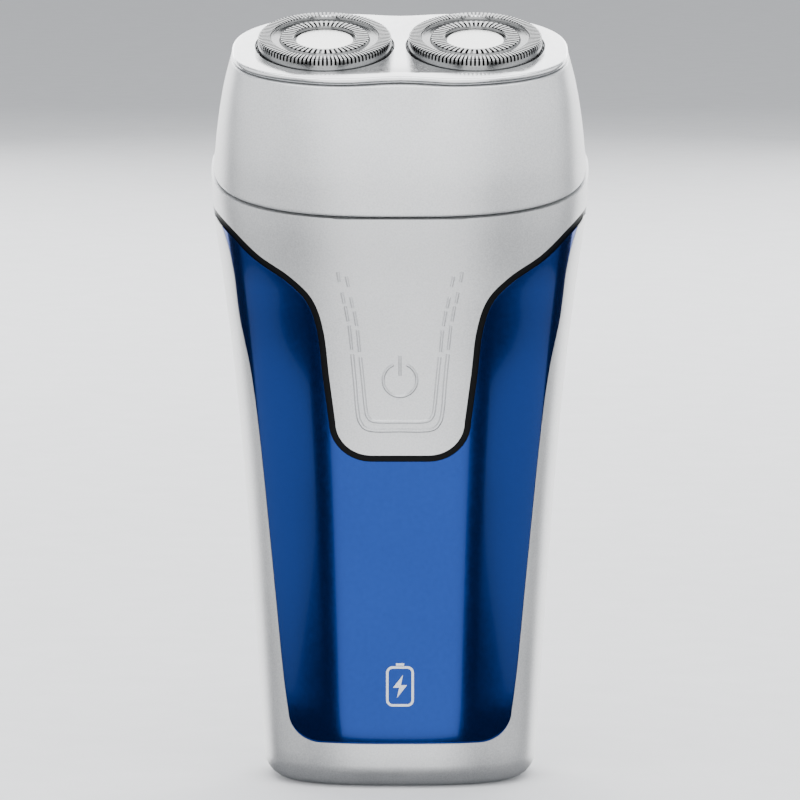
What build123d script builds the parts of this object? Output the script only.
from build123d import *
import math
import os

os.makedirs("parts", exist_ok=True)

# ---------------------------------------------------------------------------
# Driving dimensions, in millimetres.
# Frame: origin at the middle of the base, +Z up the handle, front towards -Y.
# The head, the gears and the motor sit on a deck that leans towards the face.
# ---------------------------------------------------------------------------
deck_tilt = 18.0              # lean of the head towards the front, in degrees
seam_height = 93.0            # where the head seam crosses the handle's axis
seam_gap = 0.35               # visible joint between the handle and the head
fit = 0.1                     # clearance between mating plastic pieces
run_fit = 0.05                # radial clearance of a running fit

# Handle sections: height, half width, reach to the front, reach to the back.
base_section = (0.0, 20.4, 13.9, 14.0)
grip_section = (25.0, 21.95, 15.2, 15.8)
middle_section = (45.0, 23.35, 16.2, 17.4)
waist_section = (63.0, 25.0, 17.2, 18.6)
shoulder_section = (76.0, 26.6, 18.5, 19.4)
collar_section = (89.0, 28.25, 20.0, 19.8)
brim_section = (106.0, 28.25, 20.0, 19.8)
handle_wall = 1.8
base_round = 3.6
front_squareness = 2.7        # 2 is an ellipse, more is squarer
back_squareness = 2.4

# Front panels, as seen from the front.
panel_bottom = 6.9            # lower edge of the blue shell
key_bottom = 50.9             # lower edge of the tongue-shaped power key
key_corner_rise = 4.9
key_root = 77.0               # where the key flexes out of the collar
collar_side_height = 87.3     # lower edge of the collar at the sides and back
gasket_width = 1.0
gasket_recess = 0.35
panel_gap = 0.08
front_reach = 1.5             # the front panels end this far ahead of the axis

# Head housing sections in the deck's frame: height, half width, front, back.
skirt_section = (seam_gap / 2, 28.0, 20.8, 20.1)
cheek_section = (6.0, 27.45, 18.9, 19.3)
brow_section = (12.4, 26.46, 15.9, 17.3)
rim_section = (17.6, 25.2, 13.1, 15.1)
head_wall = 1.7
plate_waist = 1.4             # how far the peanut outline pinches in
waist_spread = 6.0

# --- Deck, drive and head heights, in the deck's frame -----------------------
drive_centre = 1.0            # the heads' row lies this far behind the handle's axis
head_pitch = 22.5             # distance between the two shaving heads
spigot_gap = 0.3              # slack between the deck's rim and the head housing
deck_top = -0.35
deck_thickness = 3.0
deck_rim_height = 2.4
deck_rim_wall = 1.6
deck_rim_inset = 0.9          # the rim stands in from the deck's edge
deck_back_relief = 1.2        # the deck stays off the leaning back wall

gear_module = 0.5
pinion_teeth = 12
gear_teeth = 36
pressure_angle = 25.0
tooth_height = 0.8            # addendum, as a share of the module
tooth_root = 1.05             # dedendum, as a share of the module
backlash = 0.07
gear_top = -5.0
gear_width = 3.0
gear_boss_drop = 0.7
gear_hub_radius = 2.6
hub_top_gap = 0.25
drive_square = 2.8            # across the flats of the spindle's square
square_slack = 0.15           # per side, so that the spindle slides in its gear
pin_radius = 0.75
pin_reach = 1.6
spring_height = 3.0
spring_radius = 0.95
spring_wire = 0.25
spring_turns = 5
spindle_radius = 1.5
spindle_tip_square = 2.0
spindle_tip_height = 3.0
float_travel = 1.5            # how far a shaving head can be pushed in

gear_plate_thickness = 1.5
gear_plate_half_width = 22.4
gear_plate_half_depth = 11.0
gear_plate_corner = 9.0
post_radius = 1.7
front_post = (20.5, -8.0)      # the deck's front posts, from the drive's centre
back_post = (0.0, 9.0)         # its single back post
screw_radius = 0.8

motor_radius = 10.2
motor_flat = 7.7
motor_length = 25.0
motor_wall = 0.8
motor_end = 2.0
motor_boss_radius = 3.1
motor_shaft_radius = 1.0
magnet_radius = 7.0
rotor_radius = 6.5
motor_screw_spacing = 10.0

plate_seam = 0.15
plate_thickness = 1.0
plate_edge_round = 0.45
cap_radius = 10.2
cap_hole_slack = 0.25
cap_flange = 0.6
cap_flange_height = 0.75
cap_rise = 1.6                # the cap's top above the face plate
cap_wall = 0.25
cap_lean = 0.25               # how far the skirt leans in towards its top
cap_edge = 0.3
outer_track = (8.0, 9.65)     # inner and outer radius of the outer slotted ring
inner_track = (4.6, 6.7)
track_drop = 0.15             # the inner ring lies this far below the outer one
valley_depth = 0.7
disc_radius = 4.3
disc_thickness = 0.3
disc_sink = 0.65
blade_gap = 0.04
blade_count = 15
blade_width = 0.4
cutter_base_drop = 2.65
cutter_base = 0.35
hub_radius = 3.4
hub_flange_radius = 4.6
hub_flange_height = 0.6
hub_length = 3.6
socket_slack = 0.3

frame_top_gap = 0.4           # the plunged hub stays this far above the frame
frame_thickness = 1.2
frame_hole = 5.3
frame_half_width = 22.0
frame_half_depth = 11.0
frame_corner = 9.0
pillar_y = 7.2
pillar_radius = 1.8
lock_bar_reach = 6.3
lock_bar_width = 2.2
lock_bar_height = 1.0
lock_shaft_radius = 1.4
lock_knob_radius = 4.6
lock_knob_height = 2.2

# --- Inside the handle, in the handle's own frame -----------------------------
battery_radius = 7.05
battery_length = 49.6
battery_bottom = 4.9
battery_y = 3.2
tab_thickness = 0.25
board_front = -10.6
board_thickness = 1.0
board_half_width = 10.2
board_bottom = 4.8
board_top = 72.0
usb_width = 8.94
usb_height = 3.26
usb_depth = 7.3
usb_wall = 0.3
usb_bottom = 0.6
usb_slot_gap = 0.25
switch_height = 62.0
switch_width = 6.0
switch_body = 3.4
plunger_radius = 1.75
plunger_rise = 0.85
plunger_fit = 0.05
key_nub_gap = 0.1
key_nub_radius = 2.0
flexure_thickness = 0.4
flexure_half_width = 7.0
flexure_half_height = 4.0
chassis_wall = 1.2
chassis_front = -5.9
chassis_half_width = 12.0
chassis_bottom = 9.5
chassis_top = 53.0
cradle_gap = 0.4
cradle_reach = 5.5
standoff_radius = 1.5
screw_spots = [(13.0, 15.0), (14.5, 47.0)]
shell_boss_radius = 2.6
shell_screw_radius = 1.0
screw_head_radius = 1.9
screw_head_height = 1.4
screw_sink = 5.0              # depth of the screw heads' wells from the axis side
boss_parting = 0.2


head_tilt = math.radians(deck_tilt)
deck_axis = (0, -math.sin(head_tilt), math.cos(head_tilt))
deck_back = (0, math.cos(head_tilt), math.sin(head_tilt))
deck_frame = Plane(origin=(0, 0, seam_height), x_dir=(1, 0, 0), z_dir=deck_axis)


def ring_points(half_width, front, back, pinch=0.0, count=36):
    """Points of a closed superelliptic outline, front towards -Y."""
    points = []
    for index in range(count):
        turn = 2 * math.pi * index / count
        ahead = math.sin(turn) < 0
        reach = front if ahead else back
        power = 2 / (front_squareness if ahead else back_squareness)
        x = half_width * math.copysign(abs(math.cos(turn)) ** power, math.cos(turn))
        y = reach * math.copysign(abs(math.sin(turn)) ** power, math.sin(turn))
        y -= math.copysign(pinch, y) * math.exp(-((x / waist_spread) ** 2))
        points.append((x, y))
    return points


def ring_section(plane, half_width, front, back, pinch=0.0):
    """A filled superelliptic section on a plane."""
    with BuildSketch(plane) as section:
        with BuildLine():
            Spline(ring_points(half_width, front, back, pinch), periodic=True)
        make_face()
    return section.sketch


def handle_sections(inset, bottom):
    """The handle's sections from the base to above the seam, drawn in by an inset."""
    sections = []
    stations = [base_section, grip_section, middle_section, waist_section]
    stations += [shoulder_section, collar_section, brim_section]
    for height, half_width, front, back in stations:
        height = max(height, bottom)
        sections.append(ring_section(
            Plane.XY.offset(height), half_width - inset, front - inset, back - inset))
    return sections


def head_sections(inset):
    """The head housing's sections in the deck's frame, drawn in by an inset."""
    sections = []
    stations = [skirt_section, cheek_section, brow_section, rim_section]
    pinch_shares = [0.0, 0.0, 0.3, 1.0]
    for (height, half_width, front, back), share in zip(stations, pinch_shares):
        sections.append(ring_section(
            deck_frame.offset(height), half_width - inset, front - inset,
            back - inset, share * plate_waist))
    return sections


def pushed(points, grow):
    """Points of a rising right-hand edge, moved outwards along their normals."""
    moved = []
    for index, (x, z) in enumerate(points):
        before = points[max(index - 1, 0)]
        after = points[min(index + 1, len(points) - 1)]
        across, up = after[0] - before[0], after[1] - before[1]
        length = math.hypot(across, up)
        moved.append((x + grow * up / length, z - grow * across / length))
    return moved


def front_outline(sill, sill_half, edge_points, end_slope, grow):
    """Front view of a mirrored panel: a level sill, round corners, free side edges."""
    edge_points = pushed(edge_points, grow)
    with BuildSketch(Plane.XZ.offset(front_reach)) as outline:
        with BuildLine():
            tip = Line((0, sill - grow), (sill_half, sill - grow))
            corner = TangentArc(tip @ 1, edge_points[0], tangent=(1, 0))
            edge = Spline(*edge_points, tangents=[corner % 1, end_slope])
            side = Line(edge @ 1, ((edge @ 1).X, 110.0))
            Line(side @ 1, (0, 110.0))
            mirror(about=Plane.YZ)
        make_face()
    return outline.sketch


def collar_outline(grow=0.0):
    """Front view of the collar with its tongue, up to well above the seam."""
    edge_points = [
        (9.6, key_bottom + key_corner_rise), (10.55, 63.0), (11.35, 69.6), (13.0, 74.3),
        (16.4, 77.7), (21.0, 80.7), (25.3, 84.6), (30.0, collar_side_height + 1.5)]
    return front_outline(key_bottom, 4.3, edge_points, (1, 0.8), grow)


def blue_outline(grow=0.0):
    """Front view of the blue shell, whose top lies under the collar."""
    edge_points = [
        (16.75, panel_bottom + 4.4), (17.6, 18.0), (19.1, 34.0), (20.9, 52.4), (22.2, 62.5),
        (23.9, 70.8), (24.8, 78.0), (26.2, 83.5), (29.0, 90.0)]
    return front_outline(panel_bottom, 12.0, edge_points, (1, 2), grow)


# --- Places worked out from the sizes above ------------------------------------
centre_distance = gear_module * (pinion_teeth + gear_teeth) / 2
motor_y = drive_centre - math.sqrt(centre_distance ** 2 - (head_pitch / 2) ** 2)
gear_bottom = gear_top - gear_width
gear_plate_top = gear_bottom - gear_boss_drop - fit
gear_plate_bottom = gear_plate_top - gear_plate_thickness
deck_bottom = deck_top - deck_thickness
plate_bottom = rim_section[0] + plate_seam
plate_top = plate_bottom + plate_thickness
cap_top = plate_top + cap_rise
flange_top = plate_bottom - fit
cutter_base_top = cap_top - cutter_base_drop
hub_bottom = cutter_base_top - cutter_base - hub_length
frame_top = hub_bottom - float_travel - frame_top_gap
frame_bottom = frame_top - frame_thickness
spring_bottom = gear_plate_top + fit + pin_reach + 0.6
spindle_bottom = spring_bottom + spring_height
hub_top = deck_top - hub_top_gap
spindle_square_top = hub_top - 0.3
spindle_top = cutter_base_top - cutter_base - 0.4
shaft_top = gear_top + 0.4
head_sides = (("left", -head_pitch / 2), ("right", head_pitch / 2))


def deck_point(x, y, height):
    """A point given in the deck's frame, in the handle's frame."""
    return deck_frame.from_local_coords((x, y, height))


def axial_plane(x, y):
    """A plane through a deck-frame axis: its x is the radius, its y the height."""
    backward = tuple(-value for value in deck_back)
    return Plane(origin=deck_point(x, y, 0), x_dir=(1, 0, 0), z_dir=backward)


def deck_line(x, y):
    """The axis that stands on the deck at a point."""
    return Axis(deck_point(x, y, 0), deck_axis)


def disc(plane, places, radius, height, hole=0.0):
    """Cylinders on a plane at several places, with an optional bore."""
    with BuildPart() as cylinders:
        with BuildSketch(plane):
            with Locations(*places):
                Circle(radius)
                if hole:
                    Circle(hole, mode=Mode.SUBTRACT)
        extrude(amount=height)
    return cylinders.part


def turned(x, y, outline):
    """A solid turned about a deck-frame axis from points of radius and height."""
    with BuildPart() as solid:
        with BuildSketch(axial_plane(x, y)):
            with BuildLine():
                Polyline(*outline, close=True)
            make_face()
        revolve(axis=deck_line(x, y))
    return solid.part


def tooth_outline(teeth, phase, radius_shift=0.0):
    """Corner points of a whole spur gear with involute flanks, phase in degrees."""
    pitch_radius = gear_module * teeth / 2
    pressure = math.radians(pressure_angle)
    base_radius = pitch_radius * math.cos(pressure)
    root = pitch_radius - tooth_root * gear_module
    tip = pitch_radius + tooth_height * gear_module
    half_pitch = (math.pi * gear_module / 2 - backlash) / (2 * pitch_radius)
    involute = math.tan(pressure) - pressure
    flank = []
    for share in (0.0, 0.35, 0.7, 1.0):
        radius = max(root, base_radius) * (1 - share) + tip * share
        roll = math.acos(min(1.0, base_radius / radius))
        flank.append((radius, half_pitch + involute - (math.tan(roll) - roll)))
    points = []
    for index in range(teeth):
        middle = math.radians(phase) + 2 * math.pi * index / teeth
        foot = flank[0][1] + 0.02
        corners = [(root, -foot)] + [(r, -a) for r, a in flank]
        corners += [(r, a) for r, a in reversed(flank)] + [(root, foot)]
        for radius, angle in corners:
            points.append((radius * math.cos(middle + angle), radius * math.sin(middle + angle)))
    return points


def gear_phase(x):
    """Turn of a driven gear so that its gap faces the pinion's tooth."""
    toward = math.degrees(math.atan2(drive_centre - motor_y, x))
    tooth_step = 360 / pinion_teeth
    share = (toward / tooth_step) % 1
    return toward + 180 + (share + 0.5) * 360 / gear_teeth


def save(node, label):
    """Label a finished piece and write it."""
    node.part.label = label
    export_step(node.part, f"parts/{label}.step")


# ---------------------------------------------------------------------------
# Handle stock: the outer form, its cavity and the wall between them
# ---------------------------------------------------------------------------
seam_plane = deck_frame.offset(-seam_gap / 2)

with BuildPart() as handle_form:
    for section in handle_sections(0.0, 0.0):
        add(section)
    loft()
    fillet(handle_form.edges().group_by(Axis.Z)[0], base_round)
    split(bisect_by=seam_plane, keep=Keep.BOTTOM)

with BuildPart() as handle_cavity:
    for section in handle_sections(handle_wall, handle_wall):
        add(section)
    loft()
    fillet(handle_cavity.edges().group_by(Axis.Z)[0], base_round - handle_wall)

with BuildPart() as handle_middle:
    for section in handle_sections(handle_wall / 2, handle_wall / 2):
        add(section)
    loft()

with BuildPart() as handle_shell:
    add(handle_form.part)
    add(handle_cavity.part, mode=Mode.SUBTRACT)

with BuildPart() as collar_cut:
    extrude(collar_outline(), amount=30, dir=(0, -1, 0))
    with BuildSketch(Plane.XY.offset(collar_side_height)):
        Rectangle(80, 80)
    extrude(amount=40)

with BuildPart() as gasket_cut:
    extrude(collar_outline(gasket_width), amount=30, dir=(0, -1, 0))
    add(collar_cut.part)

with BuildPart() as blue_cut:
    extrude(blue_outline(), amount=30, dir=(0, -1, 0))

with BuildPart() as blue_margin:
    extrude(blue_outline(panel_gap), amount=30, dir=(0, -1, 0))


shell_spots = [(side * x, z) for x, z in screw_spots for side in (-1, 1)]


# ---------------------------------------------------------------------------
# Rear shell: sides, back and base, with screw bosses and the charging slot
# ---------------------------------------------------------------------------
usb_y = board_front + board_thickness + usb_height / 2
usb_slot_plane = Plane.XY.offset(-1)

with BuildPart() as rear_bosses:
    with BuildSketch(Plane.XZ.offset(-boss_parting)):
        with Locations(*shell_spots):
            Circle(shell_boss_radius)
    extrude(amount=-30)
    add(handle_middle.part, mode=Mode.INTERSECT)

with BuildPart() as rear_shell:
    add(handle_shell.part)
    add(blue_margin.part, mode=Mode.SUBTRACT)
    add(gasket_cut.part, mode=Mode.SUBTRACT)
    add(rear_bosses.part)
    with BuildSketch(Plane.XZ):
        with Locations(*shell_spots):
            Circle(shell_screw_radius + fit)
    extrude(amount=-30, mode=Mode.SUBTRACT)
    with BuildSketch(Plane.XZ.offset(-screw_sink)):
        with Locations(*shell_spots):
            Circle(screw_head_radius + fit)
    extrude(amount=-30, mode=Mode.SUBTRACT)
    with BuildSketch(usb_slot_plane):
        with Locations((0, usb_y)):
            SlotOverall(usb_width + 2 * usb_slot_gap, usb_height + 2 * usb_slot_gap)
    extrude(amount=5, mode=Mode.SUBTRACT)
save(rear_shell, "rear_shell")

# ---------------------------------------------------------------------------
# Front shell, collar, gasket and power key: the pieces of the front
# ---------------------------------------------------------------------------
with BuildPart() as front_posts:
    with BuildSketch(Plane.XZ):
        with Locations(*shell_spots):
            Circle(shell_boss_radius)
    extrude(amount=30)
    add(handle_middle.part, mode=Mode.INTERSECT)

with BuildPart() as front_shell:
    add(handle_shell.part)
    add(blue_cut.part, mode=Mode.INTERSECT)
    add(gasket_cut.part, mode=Mode.SUBTRACT)
    add(front_posts.part)
    with BuildSketch(Plane.XZ):
        with Locations(*shell_spots):
            Circle(shell_screw_radius)
    extrude(amount=6, mode=Mode.SUBTRACT)
save(front_shell, "front_shell")

with BuildPart() as key_zone:
    with BuildSketch(Plane.XY.offset(key_bottom - 5)):
        with Locations((0, -15)):
            Rectangle(60, 29)
    extrude(amount=key_root - key_bottom + 5)

with BuildPart() as collar:
    add(handle_shell.part)
    add(collar_cut.part, mode=Mode.INTERSECT)
    add(key_zone.part, mode=Mode.SUBTRACT)
save(collar, "collar")

with BuildPart() as gasket_floor:
    for section in handle_sections(gasket_recess, gasket_recess):
        add(section)
    loft()

with BuildPart() as panel_gasket:
    add(handle_shell.part)
    add(gasket_cut.part, mode=Mode.INTERSECT)
    add(collar_cut.part, mode=Mode.SUBTRACT)
    add(gasket_floor.part, mode=Mode.INTERSECT)
save(panel_gasket, "panel_gasket")

with BuildPart() as key_prism:
    extrude(collar_outline(-fit), amount=30, dir=(0, -1, 0))

plunger_tip = board_front - switch_body - plunger_rise
with BuildPart() as key_nub:
    with BuildSketch(Plane.XZ.offset(key_nub_gap - plunger_tip)):
        with Locations((0, switch_height)):
            Circle(key_nub_radius)
    extrude(amount=20)
    add(handle_middle.part, mode=Mode.INTERSECT)

with BuildPart() as power_key:
    add(handle_shell.part)
    add(key_prism.part, mode=Mode.INTERSECT)
    split(bisect_by=Plane.XY.offset(key_root - fit), keep=Keep.BOTTOM)
    add(key_nub.part)
save(power_key, "power_key")

with BuildPart() as flexure_inside:
    for section in handle_sections(handle_wall + flexure_thickness, 3):
        add(section)
    loft()

with BuildPart() as key_flexure:
    with BuildSketch(Plane.XZ.offset(front_reach)):
        with Locations((0, key_root)):
            Rectangle(2 * flexure_half_width, 2 * flexure_half_height)
    extrude(amount=30)
    add(handle_cavity.part, mode=Mode.INTERSECT)
    add(flexure_inside.part, mode=Mode.SUBTRACT)
save(key_flexure, "key_flexure")

# ---------------------------------------------------------------------------
# Charging inlet, circuit board and switch
# ---------------------------------------------------------------------------
with BuildPart() as usb_receptacle:
    with BuildSketch(Plane.XY.offset(usb_bottom)):
        with Locations((0, usb_y)):
            SlotOverall(usb_width, usb_height)
    extrude(amount=usb_depth)
    with BuildSketch(Plane.XY.offset(usb_bottom)):
        with Locations((0, usb_y)):
            SlotOverall(usb_width - 2 * usb_wall, usb_height - 2 * usb_wall)
    extrude(amount=usb_depth - 1.0, mode=Mode.SUBTRACT)
save(usb_receptacle, "usb_receptacle")

with BuildPart() as usb_tongue:
    with BuildSketch(Plane.XY.offset(usb_bottom + 1.2)):
        with Locations((0, usb_y)):
            Rectangle(usb_width * 0.72, 0.7)
    extrude(amount=usb_depth - 2.2)
save(usb_tongue, "usb_tongue")

board_holes = [(side * 8.2, z) for side in (-1, 1) for z in (16.0, 46.0)]
with BuildPart() as circuit_board:
    with BuildSketch(Plane.XZ.offset(-board_front - board_thickness)):
        with Locations((0, (board_bottom + board_top) / 2)):
            RectangleRounded(2 * board_half_width, board_top - board_bottom, 1.2)
        with Locations(*board_holes):
            Circle(screw_radius, mode=Mode.SUBTRACT)
    extrude(amount=board_thickness)
save(circuit_board, "circuit_board")

with BuildPart() as board_components:
    with BuildSketch(Plane.XZ.offset(-board_front)):
        with Locations((-4.5, 24.0)):
            Rectangle(5.0, 5.0)
        with Locations((4.2, 34.0)):
            Rectangle(4.0, 6.2)
        with Locations(*[(x, z) for x in (-6.0, -3.0, 3.0, 6.0) for z in (42.0, 47.0, 52.0)]):
            Rectangle(1.6, 0.8)
    extrude(amount=1.0)
save(board_components, "board_components")

with BuildPart() as tact_switch:
    with BuildSketch(Plane.XZ.offset(-board_front)):
        with Locations((0, switch_height)):
            Rectangle(switch_width, switch_width)
    extrude(amount=switch_body)
    chamfer(tact_switch.faces().sort_by(Axis.Y)[0].edges(), 0.3)
    with BuildSketch(Plane.XZ.offset(-board_front + 1.2)):
        with Locations((0, switch_height)):
            Circle(plunger_radius + plunger_fit)
    extrude(amount=switch_body, mode=Mode.SUBTRACT)
save(tact_switch, "tact_switch")

with BuildPart() as switch_plunger:
    with BuildSketch(Plane.XZ.offset(-board_front + 2.0)):
        with Locations((0, switch_height)):
            Circle(plunger_radius)
    extrude(amount=switch_body + plunger_rise - 2.0)
    fillet(switch_plunger.faces().sort_by(Axis.Y)[0].edges(), 0.2)
save(switch_plunger, "switch_plunger")

# ---------------------------------------------------------------------------
# Battery, its tabs, and the carrier that holds it behind the board
# ---------------------------------------------------------------------------
with BuildPart() as battery_cell:
    with BuildSketch(Plane.XY.offset(battery_bottom)):
        with Locations((0, battery_y)):
            Circle(battery_radius)
    extrude(amount=battery_length - 1.0)
    fillet(battery_cell.edges().group_by(Axis.Z)[-1], 0.6)
    with BuildSketch(Plane.XY.offset(battery_bottom + battery_length - 1.0)):
        with Locations((0, battery_y)):
            Circle(2.8)
    extrude(amount=1.0)
save(battery_cell, "battery_cell")

with BuildPart() as battery_tabs:
    for height in (battery_bottom - tab_thickness, battery_bottom + battery_length):
        with BuildSketch(Plane.XY.offset(height)):
            with Locations((0, battery_y)):
                Rectangle(4.0, 8.0)
        extrude(amount=tab_thickness)
save(battery_tabs, "battery_tabs")

with BuildPart() as chassis:
    chassis_middle = (chassis_bottom + chassis_top) / 2
    with BuildSketch(Plane.XZ.offset(-chassis_front - chassis_wall)):
        with Locations((0, chassis_middle)):
            RectangleRounded(2 * chassis_half_width, chassis_top - chassis_bottom, 2.0)
    extrude(amount=chassis_wall)
    cradle_x = battery_radius + cradle_gap + chassis_wall / 2
    with BuildSketch(Plane.XY.offset(chassis_bottom)):
        with Locations((-cradle_x, cradle_reach / 2 - 2.6), (cradle_x, cradle_reach / 2 - 2.6)):
            Rectangle(chassis_wall, cradle_reach + 4.6)
    extrude(amount=chassis_top - chassis_bottom)
    with BuildSketch(Plane.XZ.offset(-chassis_front)):
        with Locations(*board_holes):
            Circle(standoff_radius)
    extrude(amount=chassis_front - board_front - board_thickness)
    with BuildSketch(Plane.XZ.offset(-chassis_front)):
        with Locations(*shell_spots):
            Circle(shell_boss_radius + fit)
    extrude(amount=-20, both=True, mode=Mode.SUBTRACT)
save(chassis, "chassis")

with BuildPart() as shell_screws:
    with BuildSketch(Plane.XZ.offset(-screw_sink)):
        with Locations(*shell_spots):
            Circle(screw_head_radius)
    extrude(amount=-screw_head_height)
    with BuildSketch(Plane.XZ.offset(-screw_sink - screw_head_height + 0.7)):
        with Locations(*shell_spots):
            Rectangle(2.4, 0.55)
            Rectangle(0.55, 2.4)
    extrude(amount=-2, mode=Mode.SUBTRACT)
    with BuildSketch(Plane.XZ.offset(-screw_sink)):
        with Locations(*shell_spots):
            Circle(shell_screw_radius)
    extrude(amount=screw_sink + 5.5)
save(shell_screws, "shell_screws")

# ---------------------------------------------------------------------------
# Drive deck, seals and springs for the push-on head
# ---------------------------------------------------------------------------
drive_spots = [(x, drive_centre) for side, x in head_sides]
post_spots = [(side * front_post[0], drive_centre + front_post[1]) for side in (-1, 1)]
post_spots.append((back_post[0], drive_centre + back_post[1]))


def rim_outline(height, inset):
    """The deck's outline, a clearance inside the head housing's wall."""
    inward = head_wall + spigot_gap + inset
    low, half_width, front, back = skirt_section
    return ring_section(
        deck_frame.offset(height), half_width - inward, front - inward,
        back - inward - deck_back_relief)


with BuildPart() as seal_groove:
    extrude(rim_outline(deck_bottom + 0.9, 0.0), amount=1.2, dir=deck_axis)
    extrude(rim_outline(deck_bottom + 0.9, 0.8), amount=1.2, dir=deck_axis, mode=Mode.SUBTRACT)

spring_pocket_x = skirt_section[1] - head_wall - spigot_gap - deck_rim_inset - deck_rim_wall
with BuildPart() as drive_deck:
    extrude(rim_outline(deck_bottom, 0.0), amount=deck_thickness, dir=deck_axis)
    extrude(rim_outline(deck_top, deck_rim_inset), amount=deck_rim_height, dir=deck_axis)
    extrude(rim_outline(deck_top, deck_rim_inset + deck_rim_wall), amount=deck_rim_height,
            dir=deck_axis, mode=Mode.SUBTRACT)
    add(seal_groove.part, mode=Mode.SUBTRACT)
    add(disc(deck_frame.offset(gear_plate_top), post_spots, post_radius,
             deck_bottom - gear_plate_top))
    add(disc(deck_frame.offset(gear_plate_top), post_spots, screw_radius, 4.5),
        mode=Mode.SUBTRACT)
    add(disc(deck_frame.offset(deck_bottom - 1), drive_spots, gear_hub_radius + run_fit,
             deck_thickness + 2), mode=Mode.SUBTRACT)
    with BuildSketch(deck_frame.offset(deck_top + 0.5)):
        with Locations((-spring_pocket_x - 1.1, drive_centre), (spring_pocket_x + 1.1, drive_centre)):
            Rectangle(1.6, 8.0)
    extrude(amount=1.4, mode=Mode.SUBTRACT)
save(drive_deck, "drive_deck")

with BuildPart() as deck_seal:
    add(seal_groove.part)
save(deck_seal, "deck_seal")

with BuildPart() as spindle_seals:
    seal_bottom = deck_frame.offset(deck_top)
    add(disc(seal_bottom, drive_spots, 4.2, 0.5, spindle_radius + run_fit))
    add(disc(seal_bottom.offset(0.5), drive_spots, 2.6, 0.8, spindle_radius + run_fit))
save(spindle_seals, "spindle_seals")

with BuildPart() as head_springs:
    with BuildSketch(deck_frame.offset(deck_top + 0.6)):
        for side in (-1, 1):
            with BuildLine():
                near = side * (spring_pocket_x + 0.5)
                far = side * (spring_pocket_x + 1.55)
                ends = (drive_centre - 3.6, drive_centre + 3.6)
                outer = ThreePointArc((near, ends[0]), (far, drive_centre), (near, ends[1]))
                cap_end = Line(outer @ 1, (near - side * 0.2, ends[1]))
                inner = ThreePointArc(
                    cap_end @ 1, (far - side * 0.25, drive_centre), (near - side * 0.2, ends[0]))
                Line(inner @ 1, outer @ 0)
            make_face()
    extrude(amount=1.2)
save(head_springs, "head_springs")

# ---------------------------------------------------------------------------
# Motor, hung from the gear plate
# ---------------------------------------------------------------------------
motor_top = gear_plate_bottom
motor_bottom = motor_top - motor_length


def motor_ring(height, radius, flat):
    """The motor's round section with two flats."""
    with BuildSketch(deck_frame.offset(height)) as section:
        with Locations((0, motor_y)):
            Circle(radius)
            Rectangle(2 * radius, 2 * flat, mode=Mode.INTERSECT)
    return section.sketch


motor_screw_spots = [(side * motor_screw_spacing / 2, motor_y) for side in (-1, 1)]
with BuildPart() as motor_can:
    extrude(motor_ring(motor_bottom + motor_end, motor_radius, motor_flat),
            amount=motor_length - motor_end, dir=deck_axis)
    extrude(motor_ring(motor_bottom + motor_end, motor_radius - motor_wall, motor_flat - motor_wall),
            amount=motor_length - motor_end - motor_wall, dir=deck_axis, mode=Mode.SUBTRACT)
    add(disc(deck_frame.offset(motor_top), [(0, motor_y)], motor_boss_radius, 0.9))
    add(disc(deck_frame.offset(motor_top - 2), [(0, motor_y)], motor_shaft_radius + run_fit, 4),
        mode=Mode.SUBTRACT)
    add(disc(deck_frame.offset(motor_top - 2), motor_screw_spots, screw_radius, 4),
        mode=Mode.SUBTRACT)
save(motor_can, "motor_can")

with BuildPart() as motor_end_cap:
    extrude(motor_ring(motor_bottom, motor_radius, motor_flat), amount=motor_end, dir=deck_axis)
    add(disc(deck_frame.offset(motor_bottom - 1), [(0, motor_y)], motor_shaft_radius + run_fit, 4),
        mode=Mode.SUBTRACT)
save(motor_end_cap, "motor_end_cap")

with BuildPart() as motor_magnets:
    magnet_bottom = motor_bottom + motor_end + 3
    extrude(motor_ring(magnet_bottom, motor_radius - motor_wall, motor_flat - motor_wall - 1.5),
            amount=15, dir=deck_axis)
    add(disc(deck_frame.offset(magnet_bottom - 1), [(0, motor_y)], magnet_radius, 17),
        mode=Mode.SUBTRACT)
save(motor_magnets, "motor_magnets")

with BuildPart() as motor_rotor:
    add(disc(deck_frame.offset(motor_bottom + 0.4), [(0, motor_y)], motor_shaft_radius,
             shaft_top - motor_bottom - 0.4))
    with BuildSketch(deck_frame.offset(magnet_bottom + 1)):
        with Locations((0, motor_y)):
            Circle(rotor_radius)
            with PolarLocations(rotor_radius, 3):
                Circle(1.6, mode=Mode.SUBTRACT)
    extrude(amount=13)
    add(disc(deck_frame.offset(motor_bottom + motor_end + 0.6), [(0, motor_y)], 2.2, 2.0))
save(motor_rotor, "motor_rotor")

with BuildPart() as motor_terminals:
    with BuildSketch(deck_frame.offset(motor_bottom - 1.6)):
        with Locations((-6.0, motor_y - 3.0), (6.0, motor_y - 3.0)):
            Rectangle(0.4, 2.4)
    extrude(amount=1.6)
save(motor_terminals, "motor_terminals")

with BuildPart() as motor_screws:
    add(disc(deck_frame.offset(gear_plate_top), motor_screw_spots, 1.4, 0.5))
    add(disc(deck_frame.offset(motor_top - motor_wall), motor_screw_spots, screw_radius,
             gear_plate_top - motor_top + motor_wall))
save(motor_screws, "motor_screws")

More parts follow.
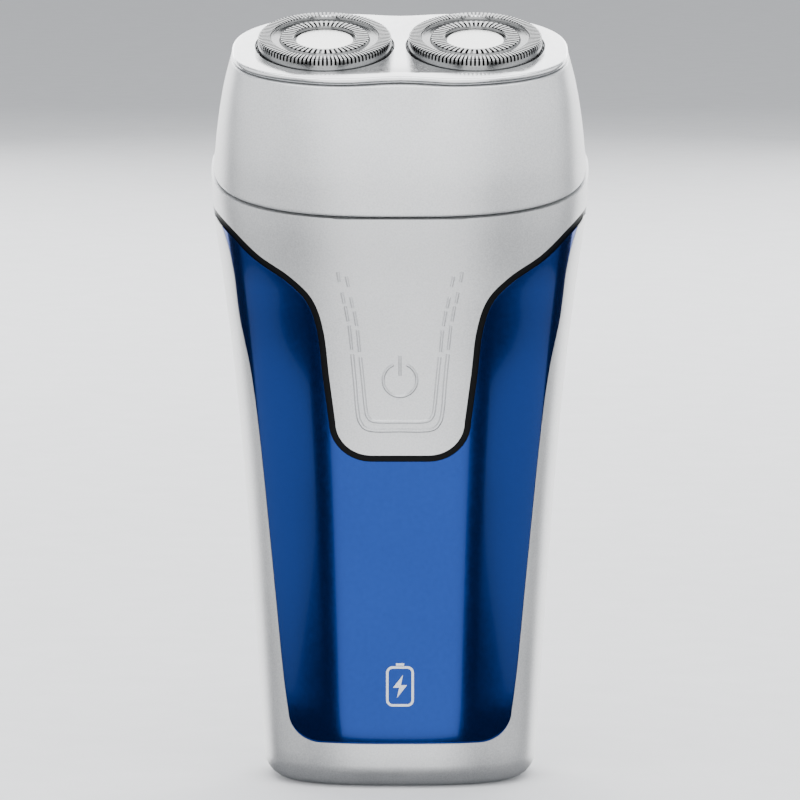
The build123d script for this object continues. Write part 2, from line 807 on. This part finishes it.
# ---------------------------------------------------------------------------
# Gear plate, pins and gears
# ---------------------------------------------------------------------------
with BuildPart() as gear_plate:
    with BuildSketch(deck_frame.offset(gear_plate_bottom)):
        with Locations((0, drive_centre)):
            RectangleRounded(2 * gear_plate_half_width, 2 * gear_plate_half_depth,
                             gear_plate_corner)
        with Locations((0, motor_y)):
            Circle(motor_boss_radius + fit, mode=Mode.SUBTRACT)
        with Locations(*drive_spots):
            Circle(pin_radius, mode=Mode.SUBTRACT)
        with Locations(*post_spots, *motor_screw_spots):
            Circle(screw_radius, mode=Mode.SUBTRACT)
    extrude(amount=gear_plate_thickness)
save(gear_plate, "gear_plate")

with BuildPart() as gear_pins:
    add(disc(deck_frame.offset(gear_plate_bottom), drive_spots, pin_radius,
             gear_plate_thickness + fit + pin_reach))
save(gear_pins, "gear_pins")

with BuildPart() as gear_screws:
    add(disc(deck_frame.offset(gear_plate_bottom - 1.0), post_spots, 1.5, 1.0))
    add(disc(deck_frame.offset(gear_plate_bottom), post_spots, screw_radius,
             gear_plate_thickness + 4.0))
save(gear_screws, "gear_screws")

with BuildPart() as motor_pinion:
    pinion_origin = deck_point(0, motor_y, gear_bottom)
    with BuildSketch(Plane(origin=pinion_origin, x_dir=(1, 0, 0), z_dir=deck_axis)):
        with BuildLine():
            Polyline(*tooth_outline(pinion_teeth, 0.0), close=True)
        make_face()
        Circle(motor_shaft_radius, mode=Mode.SUBTRACT)
    extrude(amount=gear_width)
save(motor_pinion, "motor_pinion")

for side, x in head_sides:
    with BuildPart() as drive_gear:
        gear_origin = deck_point(x, drive_centre, gear_bottom)
        with BuildSketch(Plane(origin=gear_origin, x_dir=(1, 0, 0), z_dir=deck_axis)):
            with BuildLine():
                Polyline(*tooth_outline(gear_teeth, gear_phase(x)), close=True)
            make_face()
        extrude(amount=gear_width)
        lower = gear_bottom - gear_boss_drop
        add(disc(deck_frame.offset(lower), [(x, drive_centre)], gear_hub_radius,
                 hub_top - lower))
        add(disc(deck_frame.offset(lower - 1), [(x, drive_centre)], pin_radius + run_fit,
                 1 + pin_reach + 0.2), mode=Mode.SUBTRACT)
        with BuildSketch(deck_frame.offset(spring_bottom)):
            with Locations((x, drive_centre)):
                Rectangle(drive_square + 2 * square_slack, drive_square + 2 * square_slack)
        extrude(amount=hub_top - spring_bottom + 1, mode=Mode.SUBTRACT)
    save(drive_gear, f"drive_gear_{side}")

    with BuildPart() as spindle:
        with BuildSketch(deck_frame.offset(spindle_bottom)):
            with Locations((x, drive_centre)):
                Rectangle(drive_square, drive_square)
        extrude(amount=spindle_square_top - spindle_bottom)
        add(disc(deck_frame.offset(spindle_square_top), [(x, drive_centre)], spindle_radius,
                 spindle_top - spindle_tip_height - spindle_square_top))
        with BuildSketch(deck_frame.offset(spindle_top - spindle_tip_height)):
            with Locations((x, drive_centre)):
                Rectangle(spindle_tip_square, spindle_tip_square)
        extrude(amount=spindle_tip_height)
    save(spindle, f"spindle_{side}")

    with BuildPart() as spindle_spring:
        spring_base = deck_point(x, drive_centre, spring_bottom + spring_wire / 2)
        coil_height = spring_height - spring_wire
        with BuildLine() as coil:
            Helix(pitch=coil_height / spring_turns, height=coil_height, radius=spring_radius,
                  center=spring_base, direction=deck_axis)
        with BuildSketch(Plane(coil.line ^ 0)):
            Circle(spring_wire / 2)
        sweep()
    save(spindle_spring, f"spindle_spring_{side}")

# ---------------------------------------------------------------------------
# Head housing, face plate and the frame that keeps the cutters in
# ---------------------------------------------------------------------------
with BuildPart() as head_housing:
    for section in head_sections(0.0):
        add(section)
    loft()
    with BuildPart(mode=Mode.PRIVATE) as head_hollow:
        for section in head_sections(head_wall):
            add(section)
        loft()
    add(head_hollow.part, mode=Mode.SUBTRACT)
save(head_housing, "head_housing")


def plate_outline(height, inset):
    """The peanut outline of the face plate, on the deck's frame."""
    half_width, front, back = rim_section[1:]
    return ring_section(deck_frame.offset(height), half_width - inset, front - inset,
                        back - inset, plate_waist)


latch_plane = deck_frame.offset(frame_top + fit)
pillar_spots = [(0, drive_centre - pillar_y), (0, drive_centre + pillar_y)]
with BuildPart() as head_plate:
    extrude(plate_outline(plate_bottom, 0.1), amount=plate_thickness, dir=deck_axis)
    fillet(head_plate.faces().sort_by(deck_line(0, 0))[-1].edges(),
           plate_edge_round)
    add(disc(deck_frame.offset(plate_bottom - 1), drive_spots, cap_radius + cap_hole_slack,
             plate_thickness + 2), mode=Mode.SUBTRACT)
    add(disc(latch_plane, pillar_spots, pillar_radius, plate_bottom - frame_top - fit))
    add(disc(latch_plane, [(0, drive_centre)], lock_bar_reach + 2 * fit,
             lock_bar_height + 2 * fit), mode=Mode.SUBTRACT)
save(head_plate, "head_plate")

with BuildPart() as retaining_frame:
    with BuildSketch(deck_frame.offset(frame_bottom)):
        with Locations((0, drive_centre)):
            RectangleRounded(2 * frame_half_width, 2 * frame_half_depth, frame_corner)
        with Locations(*drive_spots):
            Circle(frame_hole, mode=Mode.SUBTRACT)
            with PolarLocations(7.4, 6):
                Circle(1.2, mode=Mode.SUBTRACT)
        with Locations((0, drive_centre)):
            Circle(lock_shaft_radius + run_fit, mode=Mode.SUBTRACT)
    extrude(amount=frame_thickness)
save(retaining_frame, "retaining_frame")

with BuildPart() as retainer_lock:
    knob_bottom = frame_bottom - 2 * fit - lock_knob_height
    add(disc(deck_frame.offset(knob_bottom), [(0, drive_centre)], lock_knob_radius,
             lock_knob_height))
    with BuildSketch(deck_frame.offset(knob_bottom)):
        with Locations((0, drive_centre)):
            with PolarLocations(lock_knob_radius + 0.3, 10):
                Circle(0.75)
            Rectangle(1.2, 6.0)
    extrude(amount=1.2, mode=Mode.SUBTRACT)
    add(disc(deck_frame.offset(knob_bottom + lock_knob_height), [(0, drive_centre)],
             lock_shaft_radius, frame_thickness + 4 * fit))
    with BuildSketch(deck_frame.offset(frame_top + 2 * fit)):
        with Locations((0, drive_centre)):
            Circle(lock_bar_reach)
            Rectangle(lock_bar_width, 2 * lock_bar_reach, mode=Mode.INTERSECT)
    extrude(amount=lock_bar_height)
save(retainer_lock, "retainer_lock")

# ---------------------------------------------------------------------------
# Shaving heads: outer caps, their centre discs, cutters and cutter hubs
# ---------------------------------------------------------------------------
track_low = cap_top - track_drop
valley_top = cap_top - valley_depth
recess_top = cap_top - disc_sink - disc_thickness
for side, x in head_sides:
    outer_in, outer_out = outer_track
    inner_in, inner_out = inner_track
    lip = cap_radius - cap_lean
    with BuildPart() as outer_cap:
        cap_outline = [
            (0, recess_top), (inner_in, recess_top), (inner_in, track_low),
            (inner_out, track_low), (inner_out + 0.15, valley_top),
            (outer_in - 0.15, valley_top), (outer_in, cap_top), (outer_out, cap_top),
            (lip, cap_top - cap_edge), (cap_radius, flange_top),
            (cap_radius + cap_flange, flange_top),
            (cap_radius + cap_flange, flange_top - cap_flange_height),
            (cap_radius - cap_wall, flange_top - cap_flange_height),
            (lip - cap_wall, cap_top - cap_edge - 0.1), (outer_out - 0.1, cap_top - cap_wall),
            (outer_in + 0.15, cap_top - cap_wall), (outer_in, valley_top - cap_wall),
            (inner_out, valley_top - cap_wall), (inner_out - 0.15, track_low - cap_wall),
            (inner_in + cap_wall, track_low - cap_wall),
            (inner_in + cap_wall, recess_top - cap_wall), (0, recess_top - cap_wall)]
        add(turned(x, drive_centre, cap_outline))
    save(outer_cap, f"outer_cap_{side}")

    with BuildPart() as cap_disc:
        add(disc(deck_frame.offset(recess_top), [(x, drive_centre)], disc_radius,
                 disc_thickness))
        fillet(cap_disc.faces().sort_by(deck_line(0, 0))[-1].edges(), 0.12)
    save(cap_disc, f"cap_disc_{side}")

    blade_outer = (outer_in + 0.2, outer_out - 0.25)
    blade_inner = (inner_in + cap_wall + 0.1, inner_out - 0.25)
    base_plane = deck_frame.offset(cutter_base_top - cutter_base)
    with BuildPart() as cutter:
        add(disc(base_plane, [(x, drive_centre)], blade_outer[1], cutter_base, hub_radius))
        for reach, height in ((blade_outer, cap_top - cap_wall - blade_gap),
                              (blade_inner, track_low - cap_wall - blade_gap)):
            with BuildSketch(deck_frame.offset(cutter_base_top - 0.1)):
                with Locations((x, drive_centre)):
                    with PolarLocations((reach[0] + reach[1]) / 2, blade_count):
                        Rectangle(reach[1] - reach[0], blade_width)
            extrude(amount=height - cutter_base_top + 0.1)
    save(cutter, f"cutter_{side}")

    with BuildPart() as cutter_hub:
        add(disc(deck_frame.offset(hub_bottom), [(x, drive_centre)], hub_flange_radius,
                 hub_flange_height))
        add(disc(deck_frame.offset(hub_bottom), [(x, drive_centre)], hub_radius,
                 hub_length + cutter_base))
        with BuildSketch(deck_frame.offset(hub_bottom)):
            with Locations((x, drive_centre)):
                socket = spindle_tip_square + 2 * socket_slack
                Rectangle(socket, socket)
        extrude(amount=hub_length + cutter_base - 0.35, mode=Mode.SUBTRACT)
        with BuildSketch(deck_frame.offset(hub_bottom)):
            with Locations((x, drive_centre)):
                Circle(2.3)
        extrude(amount=1.0, taper=20, mode=Mode.SUBTRACT)
    save(cutter_hub, f"cutter_hub_{side}")
